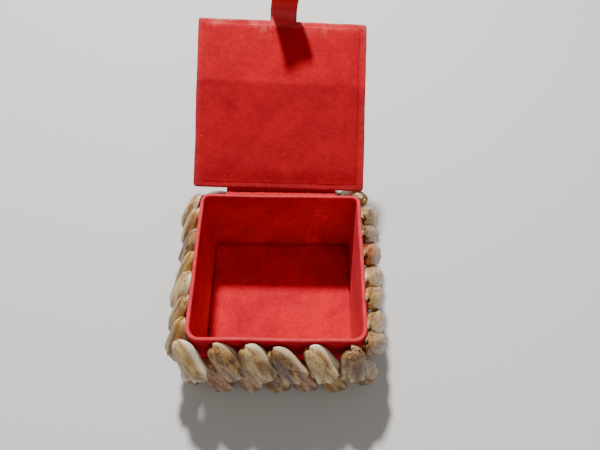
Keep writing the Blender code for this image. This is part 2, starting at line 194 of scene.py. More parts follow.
def flockPaper(name, deep, bright):
    material, tree, shader = newMaterial(name, {
        "Roughness": 0.95, "Specular IOR Level": 0.12, "IOR": 1.45, "Sheen Weight": 0.14,
        "Sheen Roughness": 0.6, "Sheen Tint": toLinear(flockLook["sheen"])})
    place = addNode(tree, "TexCoord", {}).outputs["Object"]
    cloud = addNode(tree, "TexNoise", {"Vector": place, "Scale": 1 / flockLook["cloudSize"],
                                       "Detail": 4.0, "Roughness": 0.6}).outputs["Fac"]
    patch = addNode(tree, "TexNoise", {"Vector": place, "Scale": 1 / flockLook["patchSize"],
                                       "Detail": 3.0, "Roughness": 0.65}).outputs["Fac"]
    pile = addNode(tree, "TexNoise", {"Vector": place, "Scale": 1 / flockLook["pileSize"],
                                      "Detail": 2.0}).outputs["Fac"]
    # the clouds set the tone, and the patches shift it
    spread = addNode(tree, "Math", {0: patch, 1: 0.55, 2: -0.10}, {"operation": "MULTIPLY_ADD"})
    tone = addNode(tree, "Math", {0: spread.outputs[0], 1: cloud},
                   {"operation": "ADD", "use_clamp": True})
    toneRamp = addNode(tree, "ValToRGB", {"Fac": tone.outputs[0]},
                       stops=((0.35, toLinear(deep)), (0.85, toLinear(bright))))
    grain = addNode(tree, "ValToRGB", {"Fac": pile}, stops=((0.3, 0.80), (0.7, 1.12)))
    colour = addNode(tree, "Mix", {0: 1.0, 6: toneRamp.outputs["Color"], 7: grain.outputs["Color"]},
                     multiplyTints).outputs[2]
    # rubbed edges, from the piece's own wear attribute and broken up by the patches; along the
    # tray's rim this pale line is also a painted highlight
    wear = addNode(tree, "Attribute", {}, {"attribute_name": "wear"})
    broken = addNode(tree, "Math", {0: wear.outputs["Fac"], 1: patch},
                     {"operation": "MULTIPLY", "use_clamp": True})
    # a few pale fibres and bits of dust caught in the pile
    dust = addNode(tree, "TexNoise", {"Vector": place, "Scale": 1 / flockLook["fibreSize"],
                                      "Detail": 1.0, "Distortion": 1.5})
    dustRamp = addNode(tree, "ValToRGB", {"Fac": dust.outputs["Fac"]},
                       stops=((0.785, 0.0), (0.83, 0.6)))
    for share, tint in ((broken.outputs[0], "rubbed"), (dustRamp.outputs["Color"], "fibre")):
        colour = addNode(tree, "Mix", {0: share, 6: colour, 7: toLinear(flockLook[tint])},
                         mixTints).outputs[2]
    heights = addNode(tree, "Math", {0: patch, 1: 2.0, 2: pile}, {"operation": "MULTIPLY_ADD"})
    bump = addNode(tree, "Bump", {"Strength": 0.7, "Distance": flockLook["pileDepth"],
                                  "Height": heights.outputs[0]})
    tree.links.new(colour, shader.inputs["Base Color"])
    tree.links.new(bump.outputs["Normal"], shader.inputs["Normal"])
    return material, colour, place


# Sea shell lime: smooth and a little waxy, with brown flames along the growth lines, painted shade
# in the seams between the whorls and a pale lip. The colours are the ground, its deep flames, the
# markings and the lip, which also gives the painted highlights on the knobs, and the last number is
# the noise above which markings show.
shellTints = {
    "creamShell": ("#ecc684", "#a46f38", "#6f4522", "#f6e5c8", 0.59),
    "pinkShell": ("#e4ab7e", "#9f5d38", "#6e3a18", "#f3d8c0", 0.56),
    "tanShell": ("#cf9a58", "#7f4f24", "#4a270e", "#efd6b0", 0.53),
    "orangeShell": ("#cf742a", "#873e0e", "#562206", "#efd0a6", 0.56),
    "speckledShell": ("#d3a268", "#754620", "#3d1f0c", "#eed2ac", 0.50),
    "ochreShell": ("#cfa252", "#8a5f24", "#5c3a12", "#ecd6a6", 0.59),
}
# seam is the colour of the painted shade in the hollows, the seams and the mouth
shellWearAndShade = {"worn": "#dcbf90", "wornSize": 5 * mm, "seam": "#4a2f1c", "pitSize": 0.7 * mm,
             "relief": 0.22 * mm, "darkest": 0.62, "lightest": 1.02}
# scale across the whorls, scale from seam to narrow end, detail, distortion
shellPatterns = {"flames": (9.0, 2.4, 3.0, 0.7), "bands": (1.2, 6.0, 1.0, 0.0), "net": (24.0, 13.0, 2.0, 1.4),
                 "growthLines": (46.0, 2.5, 2.0, 0.0), "cords": (3.0, 24.0, 1.0, 0.0)}


def shellLime(name, pale, deep, mark, lip, marksFrom):
    material, tree, shader = newMaterial(name, {
        "Specular IOR Level": 0.5, "IOR": 1.53, "Coat Weight": 0.22, "Coat Roughness": 0.16,
        "Subsurface Weight": 0.10, "Subsurface Radius": (1.0, 0.6, 0.35), "Subsurface Scale": 0.8 * mm})
    place = addNode(tree, "TexCoord", {}).outputs["Object"]
    own = {kind: addNode(tree, "Attribute", {}, {"attribute_name": kind}).outputs["Fac"]
           for kind in ("around", "along", "tone", "lip", "hollow")}
    # the shell's own map: around counts whorls back from the lip, along runs from the seam to the
    # narrow end, and tone shifts it from shell to shell
    shift = addNode(tree, "Math", {0: own["tone"], 1: 37.0}, {"operation": "MULTIPLY"})
    ownMap = addNode(tree, "CombineXYZ", {"X": own["around"], "Y": own["along"],
                                          "Z": shift.outputs[0]})
    patterns = {}
    for kind, (across, down, detail, distortion) in shellPatterns.items():
        stretched = addNode(tree, "Mapping", {"Vector": ownMap.outputs[0],
                                              "Scale": (across, down, 1.0)})
        patterns[kind] = addNode(tree, "TexNoise", {
            "Vector": stretched.outputs[0], "Scale": 1.0, "Detail": detail,
            "Distortion": distortion}).outputs["Fac"]
    ground = addNode(tree, "ValToRGB", {"Fac": patterns["flames"]},
                     stops=((0.36, toLinear(deep)), (0.57, toLinear(pale))))
    net = addNode(tree, "ValToRGB", {"Fac": patterns["net"]},
                  stops=((marksFrom - 0.04, 0.0), (marksFrom + 0.06, 1.0)))
    inBands = addNode(tree, "Math", {0: net.outputs["Color"], 1: patterns["bands"]},
                      {"operation": "MULTIPLY"})
    marked = addNode(tree, "Math", {0: inBands.outputs[0], 1: 1.5},
                     {"operation": "MULTIPLY", "use_clamp": True})
    towardsSpire = addNode(tree, "MapRange", {"Value": own["around"], "From Min": 0.9, "From Max": 2.2,
                                      "To Max": 0.45})
    worn = addNode(tree, "TexNoise", {"Vector": place, "Scale": 1 / shellWearAndShade["wornSize"],
                                      "Detail": 3.0})
    wornRamp = addNode(tree, "ValToRGB", {"Fac": worn.outputs["Fac"]},
                       stops=((0.50, 0.0), (0.74, 0.14)))
    # over the ground go the markings, a browner spire, pale wear, the lip with the painted highlights
    # on the knobs, and painted shade in the hollows
    colour = ground.outputs["Color"]
    for share, tint in ((marked.outputs[0], mark), (towardsSpire.outputs[0], deep),
                        (wornRamp.outputs["Color"], shellWearAndShade["worn"]), (own["lip"], lip),
                        (own["hollow"], shellWearAndShade["seam"])):
        colour = addNode(tree, "Mix", {0: share, 6: colour, 7: toLinear(tint)}, mixTints).outputs[2]
    # each shell a little lighter or darker
    level = addNode(tree, "MapRange", {"Value": own["tone"], "To Min": shellWearAndShade["darkest"],
                                       "To Max": shellWearAndShade["lightest"]}).outputs[0]
    levelTint = addNode(tree, "CombineColor", {0: level, 1: level, 2: level})
    colour = addNode(tree, "Mix", {0: 1.0, 6: colour, 7: levelTint.outputs[0]},
                     multiplyTints).outputs[2]
    polish = addNode(tree, "MapRange", {"Value": worn.outputs["Fac"], "To Min": 0.28,
                                        "To Max": 0.56})
    # growth lines cross the whorl and spiral cords run along it, with fine pits over both
    pits = addNode(tree, "TexNoise", {"Vector": place, "Scale": 1 / shellWearAndShade["pitSize"],
                                      "Detail": 2.0})
    lines = addNode(tree, "Math", {0: patterns["growthLines"], 1: patterns["cords"]},
                    {"operation": "ADD"})
    heights = addNode(tree, "Math", {0: pits.outputs["Fac"], 1: 0.4, 2: lines.outputs[0]},
                      {"operation": "MULTIPLY_ADD"})
    bump = addNode(tree, "Bump", {"Strength": 0.55, "Distance": shellWearAndShade["relief"],
                                  "Height": heights.outputs[0]})
    tree.links.new(colour, shader.inputs["Base Color"])
    tree.links.new(polish.outputs[0], shader.inputs["Roughness"])
    tree.links.new(bump.outputs["Normal"], shader.inputs["Normal"])
    return material


# Cotton tape for the hinge: red, matt, a plain weave, its threads painted lighter and the gaps
# between them painted darker, as light and shade on the weave
tapeLook = {"sheen": "#ff6a60", "between": "#98131d", "thread": "#c41b26", "relief": 0.15 * mm,
            "threadSpacing": 3.1416 * mm}  # real ones are 0.3 mm apart, drawn far coarser so that they show
wavePeriod = 2 * math.pi / 20  # what a Wave texture repeats after, at scale 1


def cottonTape(name):
    material, tree, shader = newMaterial(name, {"Roughness": 0.9, "Specular IOR Level": 0.2, "IOR": 1.45,
                                                "Sheen Weight": 0.15,
                                                "Sheen Tint": toLinear(tapeLook["sheen"])})
    cloth = addNode(tree, "UVMap", {}, {"uv_map": "cloth"}).outputs["UV"]
    warp, weft = (addNode(tree, "TexWave", {
        "Vector": cloth, "Scale": wavePeriod / tapeLook["threadSpacing"], "Distortion": 0.6,
        "Detail": 1.0, "Detail Scale": 3.0}, {"bands_direction": direction}) for direction in ("X", "Y"))
    weave = addNode(tree, "Math", {0: warp.outputs["Fac"], 1: weft.outputs["Fac"]},
                    {"operation": "MAXIMUM"})
    # painted light and shade: threads lighter, gaps between them darker
    tint = addNode(tree, "ValToRGB", {"Fac": weave.outputs[0]},
                   stops=((0.2, toLinear(tapeLook["between"])), (1.0, toLinear(tapeLook["thread"]))))
    bump = addNode(tree, "Bump", {"Strength": 0.6, "Distance": tapeLook["relief"],
                                  "Height": weave.outputs[0]})
    tree.links.new(tint.outputs["Color"], shader.inputs["Base Color"])
    tree.links.new(bump.outputs["Normal"], shader.inputs["Normal"])
    return material


# Polyester satin ribbon: long floats along it give a soft silky shine, with fine ribs across
satinLook = {"sheen": "#ff5a50", "dull": "#cc1022", "bright": "#e4182c", "relief": 0.06 * mm,
             "floatsAcross": 1800.0, "floatsAlong": 40.0,
             "ribSpacing": 3.77 * mm}  # real picks are 0.2 mm apart, drawn far coarser so that they show


def satinRibbon(name):
    material, tree, shader = newMaterial(name, {"Roughness": 0.48, "Specular IOR Level": 0.4, "IOR": 1.5,
                                                "Anisotropic": 0.5, "Sheen Weight": 0.2,
                                                "Sheen Tint": toLinear(satinLook["sheen"])})
    cloth = addNode(tree, "UVMap", {}, {"uv_map": "cloth"}).outputs["UV"]
    ribs = addNode(tree, "TexWave", {
        "Vector": cloth, "Scale": wavePeriod / satinLook["ribSpacing"], "Distortion": 0.4},
        {"bands_direction": "Y"})
    floats = addNode(tree, "Mapping", {
        "Vector": cloth, "Scale": (satinLook["floatsAcross"], satinLook["floatsAlong"], 1.0)})
    threads = addNode(tree, "TexNoise", {"Vector": floats.outputs[0], "Scale": 1.0, "Detail": 2.0})
    tint = addNode(tree, "ValToRGB", {"Fac": threads.outputs["Fac"]},
                   stops=((0.3, toLinear(satinLook["dull"])), (0.75, toLinear(satinLook["bright"]))))
    bump = addNode(tree, "Bump", {"Strength": 0.2, "Distance": satinLook["relief"],
                                  "Height": ribs.outputs["Fac"]})
    tree.links.new(tint.outputs["Color"], shader.inputs["Base Color"])
    tree.links.new(bump.outputs["Normal"], shader.inputs["Normal"])
    return material


boxFlock = flockPaper("boxFlockPaper", *flockTints["box"])[0]
lapFlock = flockPaper("lapFlockPaper", *flockTints["lap"])[0]
hingeTape = cottonTape("hingeCottonTape")
ribbonSatin = satinRibbon("redSatinRibbon")
shellMaterials = {name: shellLime(name, *tints) for name, tints in shellTints.items()}
print("finishes made")

# wear paints the rim's crest pale: partly rubbed wear, partly a painted highlight on the fold
tray = {"wall": 1.8 * mm, "base": 2.0 * mm, "frontRadius": 6.0 * mm, "backRadius": 4.0 * mm,
        "rimRoll": 0.80 * mm, "footRoll": 0.6 * mm, "cutEvery": 3.5 * mm, "wear": 0.60,
        "wearDepth": 0.42 * mm, "wave": 0.35 * mm, "waveLength": 24 * mm, "waveTop": 48 * mm,
        "footWave": 0.15, "riseWave": 0.6}


def trayWave(point):
    # the card walls bow a little, most at the rim
    bend = noise.noise_vector(point / tray["waveLength"]) * tray["wave"]
    share = smoothStep(0, tray["waveTop"], point.z)
    level = tray["footWave"] + (1 - tray["footWave"]) * share
    return Vector((bend.x * level, bend.y * level, bend.z * tray["riseWave"] * share))


def makeTray():
    low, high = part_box("box_body")
    bm = roundedSlab(low, high, tray["frontRadius"], tray["backRadius"], 8)
    top = max(bm.faces, key=lambda f: f.calc_center_median().z)
    bmesh.ops.inset_region(bm, faces=[top], thickness=tray["wall"], use_even_offset=True)
    made = bmesh.ops.extrude_face_region(bm, geom=[top, *top.edges])["geom"]
    bmesh.ops.translate(bm, vec=(0, 0, low.z + tray["base"] - high.z),
                        verts=[g for g in made if isinstance(g, bmesh.types.BMVert)])
    rollEdges(bm, [high.z], tray["rimRoll"], 4)
    rollEdges(bm, [low.z], tray["footRoll"], 2)
    cutUp(bm, low, high, (0, 1, 2), tray["cutEvery"])
    # the rim's crest: pale wear and a painted highlight
    rimWearAndHighlightLow, rimWearAndHighlightHigh = high.z - tray["wearDepth"], high.z - 0.02 * mm
    paintWearAndHighlight(bm, lambda p: tray["wear"] * smoothStep(rimWearAndHighlightLow, rimWearAndHighlightHigh, p.z))
    for v in bm.verts:
        v.co += trayWave(v.co)
    piece = finishPiece(bm, "boxTray", [boxFlock], 50)
    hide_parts("box_body")
    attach(piece, "box")
    return low, high


trayLow, trayHigh = makeTray()

floorCard = {"play": 0.5 * mm, "roll": 0.45 * mm, "cutEvery": 2.5 * mm, "edgeWave": 1.3 * mm,
             "edgeDepth": 8 * mm, "swell": 0.25 * mm, "bumpsPerMetre": 60}


def makeFloorPad():
    low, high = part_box("floor_card")
    inside = tray["wall"] + floorCard["play"]
    bm = roundedSlab(low, high, tray["frontRadius"] - inside, tray["backRadius"] - inside, 6)
    rollEdges(bm, [high.z], floorCard["roll"], 3)
    cutUp(bm, low, high, (0, 1), floorCard["cutEvery"])
    for v in bm.verts:
        x, y = v.co.x * floorCard["bumpsPerMetre"], v.co.y * floorCard["bumpsPerMetre"]
        # the back edge of the card was cut unevenly, and its face swells a little
        atBack = smoothStep(high.y - floorCard["edgeDepth"], high.y, v.co.y)
        v.co.y -= atBack * floorCard["edgeWave"] * (1 + noise.noise(Vector((x, 3.1, 0))))
        if v.co.z > low.z + 0.5 * mm:
            v.co.z += floorCard["swell"] * noise.noise(Vector((x, y, 8.0)))
    piece = finishPiece(bm, "floorPad", [boxFlock], 50)
    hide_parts("floor_card")
    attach(piece, "box")


makeFloorPad()

# the covering paper ends in a lap on the back wall, which runs over the rim
lap = {"topLeft": 17.8 * mm, "footLeft": 12.0 * mm, "width": 7.5 * mm, "thickness": 0.28 * mm,
       "outsideDepth": 5 * mm, "foot": 4.2 * mm, "ragged": 0.4 * mm, "steps": 22, "columns": 6,
       "wear": 0.5, "wearDepth": 0.7 * mm}


def makePaperLap():
    # a line down the inside of the back wall, over the rim and down the outside, as Y, Z and how
    # far up the wall it is
    inner, outer = trayHigh.y - tray["wall"], trayHigh.y
    roll, top, foot, steps = tray["rimRoll"], trayHigh.z, lap["foot"], lap["steps"]
    line = [(inner, foot + (top - roll - foot) * i / steps, i / steps) for i in range(steps + 1)]
    for centre, start in ((inner + roll, 180), (outer - roll, 90)):
        for i in range(1, 6):
            turn = math.radians(start - 90 * i / 5)
            line.append((centre + roll * math.cos(turn), top - roll + roll * math.sin(turn), 1.0))
    line += [(outer, top - roll - lap["outsideDepth"] * i / 4, 1.0) for i in range(1, 5)]
    bm = bmesh.new()
    left = []
    for y, z, share in line:
        x = lap["footLeft"] + (lap["topLeft"] - lap["footLeft"]) * share
        left.append(bm.verts.new((x + lap["ragged"] * noise.noise(Vector((0, y * 300, z * 110))), y, z)))
    for a, b in zip(left, left[1:]):
        bm.edges.new((a, b))
    edges = bm.edges[:]
    for i in range(lap["columns"]):
        row, edges = extrudeRow(bm, edges)
        bmesh.ops.translate(bm, vec=(lap["width"] / lap["columns"], 0, 0), verts=row)
    bmesh.ops.recalc_face_normals(bm, faces=bm.faces)
    bm.normal_update()
    # the paper's face looks into the box, so its normals start towards -Y
    inward = next(f for f in bm.faces if f.calc_center_median().z < trayHigh.z / 2)
    if inward.normal.y > 0:
        bmesh.ops.reverse_faces(bm, faces=bm.faces)
    bmesh.ops.solidify(bm, geom=bm.faces[:], thickness=lap["thickness"])
    for v in bm.verts:
        v.co += trayWave(v.co)
    paintWearAndHighlight(bm, lambda p: lap["wear"] * smoothStep(trayHigh.z - lap["wearDepth"], trayHigh.z, p.z))
    piece = finishPiece(bm, "paperLap", [lapFlock], 50)
    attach(piece, "box")


makePaperLap()
print("tray, floor card and paper lap made")

# The lid is a covered board and the lined panel inside it. Both are shaped in the lid's own frame,
# X along the hinge, Y to the free edge and Z out of the lined face.
lid = {"hinge": Vector((-0.0013, 0.0365, 0.0483)), "angle": math.radians(30), "skew": math.radians(-0.8),
       "width": 80.6 * mm, "start": 1.7 * mm, "length": 80 * mm, "boardTop": -1.1 * mm, "board": 2.5 * mm,
       "corner": 1.4 * mm, "edgeRoll": 0.8 * mm, "cutEvery": 3.3 * mm, "bow": 0.30 * mm, "bowsPerMetre": 34,
       "outOfSquare": 0.018, "fray": 0.16 * mm, "wear": 0.5, "freeEdgeWear": 1.0}
lining = {"side": 3.6 * mm, "end": 2.6 * mm, "roll": 0.7 * mm, "wear": 0.55, "wearDepth": 1.2 * mm,
          "atHinge": 0.14, "hingeTaper": 6 * mm, "atSides": 0.55, "sideTaper": 4 * mm, "swell": 0.12 * mm,
          "wander": 0.3 * mm}
# dull tints the painted shade on the lid below a wavering line, which brightFrom and brightTo place
lidMarks = {"dull": "#dcdcdc", "brightFrom": 53.5 * mm, "brightTo": 56.5 * mm, "slope": 0.04,
            "wobble": 6 * mm, "wobbleSize": 12 * mm, "scuff": "#e4847a", "scuffFrom": 71 * mm,
            "scuffTo": 81 * mm, "scuffSize": 9 * mm}
lidPlace = (Matrix.Translation(lid["hinge"]) @ Matrix.Rotation(lid["angle"], 4, "X")
            @ Matrix.Rotation(lid["skew"], 4, "Z"))


def lidBow(p):
    # the card bows a little, and its free edge was cut slightly out of square
    away = (p.y - lid["start"]) / lid["length"]
    bow = noise.noise(Vector((p.x * lid["bowsPerMetre"], p.y * lid["bowsPerMetre"], 2.0)))
    return Vector((0, -p.x * lid["outOfSquare"] * away, lid["bow"] * bow))


def lidFlock(name):
    # painted shade darkens the lid below its upper third, and the free edge is scuffed pale
    material, colour, place = flockPaper(name, *flockTints["lid"])
    tree = material.node_tree
    inLid = addNode(tree, "VectorMath", {0: place, 1: lid["hinge"]}, {"operation": "SUBTRACT"})
    turned = addNode(tree, "VectorRotate", {"Vector": inLid.outputs[0],
                                            "Rotation": (lid["angle"], 0, 0)},
                     {"rotation_type": "EULER_XYZ", "invert": True})
    axes = addNode(tree, "SeparateXYZ", {0: turned.outputs[0]})
    wobble = addNode(tree, "TexNoise", {"Vector": place, "Scale": 1 / lidMarks["wobbleSize"],
                                        "Detail": 3.0})
    sloped = addNode(tree, "Math", {0: axes.outputs["X"], 1: lidMarks["slope"],
                                    2: axes.outputs["Y"]}, {"operation": "MULTIPLY_ADD"})
    line = addNode(tree, "Math", {0: wobble.outputs["Fac"], 1: lidMarks["wobble"],
                                  2: sloped.outputs[0]}, {"operation": "MULTIPLY_ADD"})
    # painted shade: below this line the lid is tinted darker
    outOfPaintedShade = addNode(tree, "MapRange", {"Value": line.outputs[0], "From Min": lidMarks["brightFrom"],
                                      "From Max": lidMarks["brightTo"]},
                   {"interpolation_type": "SMOOTHSTEP"})
    paintedLidShade = addNode(tree, "Mix", {0: outOfPaintedShade.outputs[0], 6: toLinear(lidMarks["dull"]),
                                7: toLinear("#ffffff")}, mixTints)
    colour = addNode(tree, "Mix", {0: 1.0, 6: colour, 7: paintedLidShade.outputs[2]}, multiplyTints).outputs[2]
    # scuffs gather towards the free edge
    edge = addNode(tree, "MapRange", {"Value": axes.outputs["Y"], "From Min": lidMarks["scuffFrom"],
                                      "From Max": lidMarks["scuffTo"]},
                   {"interpolation_type": "SMOOTHSTEP"})
    rub = addNode(tree, "TexNoise", {"Vector": place, "Scale": 1 / lidMarks["scuffSize"],
                                     "Detail": 5.0, "Roughness": 0.65, "Distortion": 0.6})
    rubRamp = addNode(tree, "ValToRGB", {"Fac": rub.outputs["Fac"]}, stops=((0.50, 0.0), (0.68, 0.5)))
    rubbed = addNode(tree, "Math", {0: rubRamp.outputs["Color"], 1: edge.outputs[0]},
                     {"operation": "MULTIPLY"})
    colour = addNode(tree, "Mix", {0: rubbed.outputs[0], 6: colour, 7: toLinear(lidMarks["scuff"])},
                     mixTints).outputs[2]
    tree.links.new(colour, tree.nodes["Principled BSDF"].inputs["Base Color"])
    return material


lidPaper = lidFlock("lidFlockPaper")


def makeLidPanel():
    low = Vector((-lid["width"] / 2, lid["start"], lid["boardTop"] - lid["board"]))
    high = Vector((lid["width"] / 2, lid["start"] + lid["length"], lid["boardTop"]))
    bm = roundedSlab(low, high, lid["corner"], lid["corner"], 4)
    rollEdges(bm, [high.z, low.z], lid["edgeRoll"], 3)
    cutUp(bm, low, high, (0, 1), lid["cutEvery"])
    middle = (low + high) / 2
    half = (high - low) / 2
    layer = bm.verts.layers.float.new("wear")
    for v in bm.verts:
        p = v.co.copy()
        nearEdge = max(abs(p.x - middle.x) / half.x, abs(p.y - middle.y) / half.y)
        rim = smoothStep(0.96, 1.0, nearEdge)
        v[layer] = rim * (lid["freeEdgeWear"] if p.y > high.y - 2 * mm else lid["wear"])
        rough = noise.noise_vector(p * 210) * lid["fray"] + noise.noise_vector(p * 45) * lid["fray"] * 1.4
        v.co += Vector((rough.x, rough.y, 0)) * rim + lidBow(p)
    bm.transform(lidPlace)
    piece = finishPiece(bm, "lidPanel", [lidPaper], 50)
    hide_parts("lid_board")
    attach(piece, "lid")


def makeLidLining():
    low = Vector((-lid["width"] / 2 + lining["side"], lid["start"] + lining["end"], lid["boardTop"]))
    high = Vector((lid["width"] / 2 - lining["side"], lid["start"] + lid["length"] - lining["end"], 0.0))
    bm = roundedSlab(low, high, lid["corner"], lid["corner"], 4)
    rollEdges(bm, [high.z], lining["roll"], 3)
    cutUp(bm, low, high, (0, 1), lid["cutEvery"] * 0.7)
    layer = bm.verts.layers.float.new("wear")
    for v in bm.verts:
        p = v.co.copy()
        v[layer] = lining["wear"] * smoothStep(high.y - lining["wearDepth"], high.y, p.y)
        # glued flat, so it thins out towards the hinge and a little towards the sides
        fromHinge = smoothStep(low.y, low.y + lining["hingeTaper"], p.y)
        fromSide = smoothStep(0, lining["sideTaper"], min(p.x - low.x, high.x - p.x))
        v.co.z = low.z + (p.z - low.z) * ((lining["atHinge"] + (1 - lining["atHinge"]) * fromHinge)
                                          * (lining["atSides"] + (1 - lining["atSides"]) * fromSide))
        if p.z > -0.4 * mm:
            v.co.z += lining["swell"] * noise.noise(Vector((p.x * 120, p.y * 120, 5.0)))
        v.co.x += lining["wander"] * noise.noise(Vector((1.0, p.y * 60, 2.0)))
        v.co.y += lining["wander"] * noise.noise(Vector((p.x * 60, 7.0, 2.0)))
        v.co += lidBow(p)
    bm.transform(lidPlace)
    piece = finishPiece(bm, "lidLiningSheet", [lidPaper], 50)
    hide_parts("lid_lining")
    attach(piece, "lid")


makeLidPanel()
makeLidLining()
print("lid made")


def clothStrip(line, width, thickness, columns, name, material, shape):
    # line is the strip's middle line as points, and its width is laid off along X
    bm = bmesh.new()
    sideways = Vector((1, 0, 0))
    start = [bm.verts.new(line[0] + sideways * width * (i / columns - 0.5)) for i in range(columns + 1)]
    for a, b in zip(start, start[1:]):
        bm.edges.new((a, b))
    edges = bm.edges[:]
    rows = [start]
    lengths = [0.0]
    for here, there in zip(line, line[1:]):
        row, edges = extrudeRow(bm, edges)
        bmesh.ops.translate(bm, vec=there - here, verts=row)
        rows.append(sorted(row, key=lambda v: v.co.x))
        lengths.append(lengths[-1] + (there - here).length)
    cloth = bm.loops.layers.uv.new("cloth")
    places = {v: ((i / columns) * width, lengths[r]) for r, row in enumerate(rows) for i, v in enumerate(row)}
    for face in bm.faces:
        for loop in face.loops:
            loop[cloth].uv = places[loop.vert]
    for v, (u, w) in places.items():
        v.co += shape(u / width, w / lengths[-1])
    bmesh.ops.solidify(bm, geom=bm.faces[:], thickness=thickness)
    piece = finishPiece(bm, name, [material], 60)
    return piece, lengths[-1]


def bezierLine(points, count):
    a, b, c, d = (Vector(p) for p in points)
    return [a * (1 - t) ** 3 + b * 3 * t * (1 - t) ** 2 + c * 3 * t * t * (1 - t) + d * t ** 3
            for t in (i / count for i in range(count + 1))]


hinge = {"width": 52 * mm, "thickness": 0.4 * mm, "onWall": 10 * mm, "onLid": 4.5 * mm, "belowRim": 2.4 * mm,
         "underLid": 0.55 * mm, "wallY": 36.05 * mm, "slack": 0.8, "fray": 0.25 * mm, "pucker": 0.35 * mm,
         "columns": 40}


def makeHingeStrip():
    top = trayHigh.z - hinge["belowRim"]
    wallTop = Vector((0, hinge["wallY"], top))
    lidStart = lidPlace @ Vector((-lid["hinge"].x, lid["start"],
                                  lid["boardTop"] - lid["board"] - hinge["underLid"]))
    lidStart.x = 0
    along = Vector((0, math.cos(lid["angle"]), math.sin(lid["angle"])))
    reach = (lidStart - wallTop).length / 2
    line = [wallTop - Vector((0, 0, hinge["onWall"] * (1 - i / 6))) for i in range(6)]
    line += bezierLine((wallTop, wallTop + Vector((0, 0, reach * hinge["slack"])), lidStart - along * reach,
                        lidStart), 10)
    line += [lidStart + along * hinge["onLid"] * i / 3 for i in (1, 2, 3)]

    def ripple(u, w):
        # slightly puckered where it bends, with a thread or two out of line at the sides
        gap = math.exp(-((w - 0.62) / 0.16) ** 2)
        side = smoothStep(0.42, 0.5, abs(u - 0.5))
        return Vector((hinge["fray"] * noise.noise(Vector((w * 30, u * 3, 0))) * side, 0,
                       hinge["pucker"] * gap * noise.noise(Vector((u * 14, 1.0, 4.0)))))

    piece, length = clothStrip(line, hinge["width"], hinge["thickness"], hinge["columns"], "hingeStrip",
                               hingeTape, ripple)
    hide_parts("hinge_cloth")
    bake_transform(piece, "box", "lid", start=(0, 0.0361, 0.0456), end=(0, 0.0402, 0.0457))
    print("hinge strip length", round(length, 5))


ribbon = {"width": 12.5 * mm, "thickness": 0.3 * mm, "columns": 14, "offset": 0.4 * mm, "tuck": 7 * mm,
          "curlLength": 11 * mm, "curl": math.radians(72), "curlSteps": 14, "tail": 16.5 * mm,
          "level": -1.12 * mm, "lean": 3.0 * mm, "spread": 0.8 * mm, "cup": 0.8 * mm, "slant": 3.8 * mm}


def makeRibbon():
    edge = lid["start"] + lid["length"]
    level = ribbon["level"]
    line = [Vector((ribbon["offset"], edge - ribbon["tuck"] * (1 - i / 4), level)) for i in range(5)]
    y, z = edge, level
    step = ribbon["curlLength"] / ribbon["curlSteps"]
    for i in range(ribbon["curlSteps"]):
        turn = ribbon["curl"] * (i + 0.5) / ribbon["curlSteps"]
        y, z = y + step * math.cos(turn), z + step * math.sin(turn)
        line.append(Vector((ribbon["offset"], y, z)))
    for i in range(1, 9):
        part = ribbon["tail"] * i / 8
        line.append(Vector((ribbon["offset"], y + part * math.cos(ribbon["curl"]),
                            z + part * math.sin(ribbon["curl"]))))

    def sway(u, w):
        # the free end leans to the right, cups a little and was cut at a slant
        free, cut = smoothStep(0.25, 1.0, w), smoothStep(0.45, 1.0, w)
        cup = (u - 0.5) ** 2 * 4
        return Vector(((ribbon["lean"] + (u - 0.5) * ribbon["spread"]) * free, -ribbon["cup"] * cup * free,
                       ribbon["slant"] * (0.5 - u) * cut))

    piece, length = clothStrip(line, ribbon["width"], ribbon["thickness"], ribbon["columns"], "ribbonPull",
                               ribbonSatin, sway)
    piece.data.transform(lidPlace)
    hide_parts("ribbon_pull")
    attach(piece, "lid")
    print("ribbon length", round(length, 5))


makeHingeStrip()
makeRibbon()
print("cloth made")

